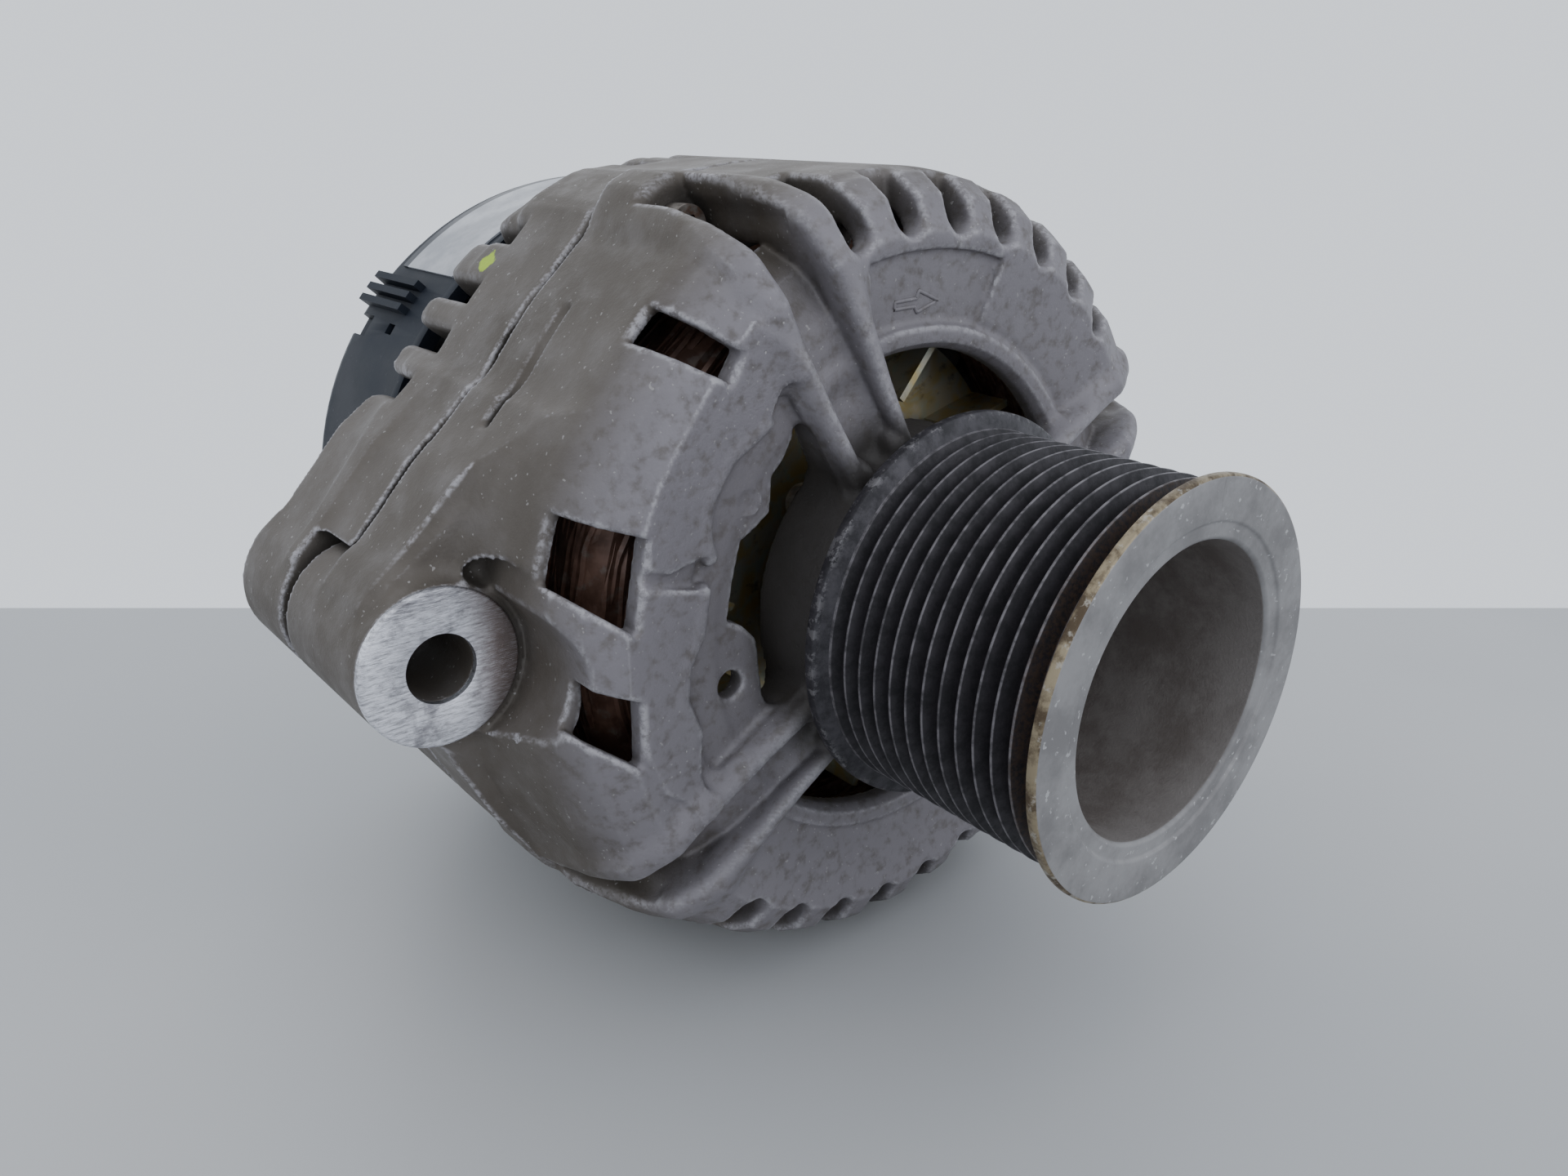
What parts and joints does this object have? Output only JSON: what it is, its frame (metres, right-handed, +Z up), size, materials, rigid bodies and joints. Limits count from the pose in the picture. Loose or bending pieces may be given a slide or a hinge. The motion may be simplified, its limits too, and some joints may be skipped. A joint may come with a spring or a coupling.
{
  "type": "car alternator",
  "caption": "Car alternator with a cast two-part housing, a wide poly-V belt pulley, a split pivot lug, internal fans and a plastic rear cover.",
  "frame": {"origin": "centre of the pivot bore at the front lug's machined face", "axes": "+Y runs from the pulley to the rear cover along the rotor and the pivot bore, +Z is up with the pivot lug level with the rotor, +X runs from the pivot lug to the rotor"},
  "size_m": [0.199, 0.2055, 0.155],
  "materials": {
    "bearing_steel": "ground",
    "black_plastic": "glass-filled",
    "bolt_steel": "dull, lightly rusted",
    "brown_plastic": "matt",
    "bush_steel": "dull",
    "carbon": "copper graphite",
    "cast_aluminium": "dirty matt die cast",
    "claw_steel": "forged",
    "cover_plastic": "blue-black moulded",
    "diode_nickel": "nickel plated",
    "enamelled_copper": "enamelled copper, dusty",
    "label_paper": "blank label",
    "lamination_steel": "varnished",
    "passivated_steel": "yellow passivated zinc",
    "plate_aluminium": "rolled",
    "pulley_steel": "blackened, worn bright on the rims",
    "seal_rubber": "matt",
    "shaft_steel": "ground",
    "slip_ring_copper": "polished by the brushes",
    "spring_steel": "bright wire",
    "terminal_brass": "tinned",
    "zinc_steel": "zinc plated"
  },
  "bodies": {
    "housing": {"bearing_retainer": "zinc_steel", "brush_holder": "black_plastic", "brush_spring_front": "spring_steel", "brush_spring_rear": "spring_steel", "cover_label": "label_paper", "cover_screws": "bolt_steel", "drive_end_shield": "cast_aluminium", "front_bearing_outer_ring": "bearing_steel", "front_bearing_seals": "seal_rubber", "minus_diodes": "diode_nickel", "minus_heat_sink": "plate_aluminium", "output_insulator": "black_plastic", "output_nut": "zinc_steel", "output_stud": "zinc_steel", "plug_pins": "terminal_brass", "plug_socket": "black_plastic", "plus_diodes": "diode_nickel", "plus_heat_sink": "plate_aluminium", "rear_bearing_outer_ring": "bearing_steel", "rear_bearing_seals": "seal_rubber", "rear_bearing_sleeve": "brown_plastic", "rear_cover": "cover_plastic", "rectifier_carrier": "black_plastic", "rectifier_screws": "bolt_steel", "rectifier_spacers": "brown_plastic", "regulator": "black_plastic", "regulator_screws": "bolt_steel", "retainer_screws": "bolt_steel", "slip_ring_end_shield": "cast_aluminium", "stator_core": "lamination_steel", "stator_winding": "enamelled_copper", "through_bolts": "bolt_steel", "winding_leads": "enamelled_copper"},
    "rotor": {"rotor_shaft": "shaft_steel", "claw_pole_front": "claw_steel", "claw_pole_rear": "claw_steel", "rotor_core": "claw_steel", "coil_bobbin": "brown_plastic", "field_coil": "enamelled_copper", "front_fan": "passivated_steel", "rear_fan": "passivated_steel", "bearing_spacer": "shaft_steel", "slip_ring_hub": "brown_plastic", "slip_rings": "slip_ring_copper", "pulley": "pulley_steel", "pulley_nut": "zinc_steel", "front_bearing_inner_ring": "bearing_steel", "front_bearing_balls": "bearing_steel", "rear_bearing_inner_ring": "bearing_steel", "rear_bearing_balls": "bearing_steel"},
    "front_brush": {"brush_front": "carbon"},
    "rear_brush": {"brush_rear": "carbon"},
    "clamp_bush": {"pivot_bushing": "bush_steel"}
  },
  "joints": [
    {"name": "rotor_spin", "type": "hinge", "parent": "housing", "child": "rotor", "pos_m": [0.0869, -0.036, -0.0015], "axis": [0, 1, 0], "continuous": true},
    {"name": "front_brush_slide", "type": "slide", "parent": "housing", "child": "front_brush", "axis": [0, 0, 1], "range_m": [0, 0.006], "stiffness_N_per_m": 200, "springref_m": -0.01, "deforming": ["brush_spring_front"]},
    {"name": "rear_brush_slide", "type": "slide", "parent": "housing", "child": "rear_brush", "axis": [0, 0, 1], "range_m": [0, 0.006], "stiffness_N_per_m": 200, "springref_m": -0.01, "deforming": ["brush_spring_rear"]},
    {"name": "clamp_bush_slide", "type": "slide", "parent": "housing", "child": "clamp_bush", "axis": [0, 1, 0], "range_m": [-0.0015, 0.0015]}
  ]
}
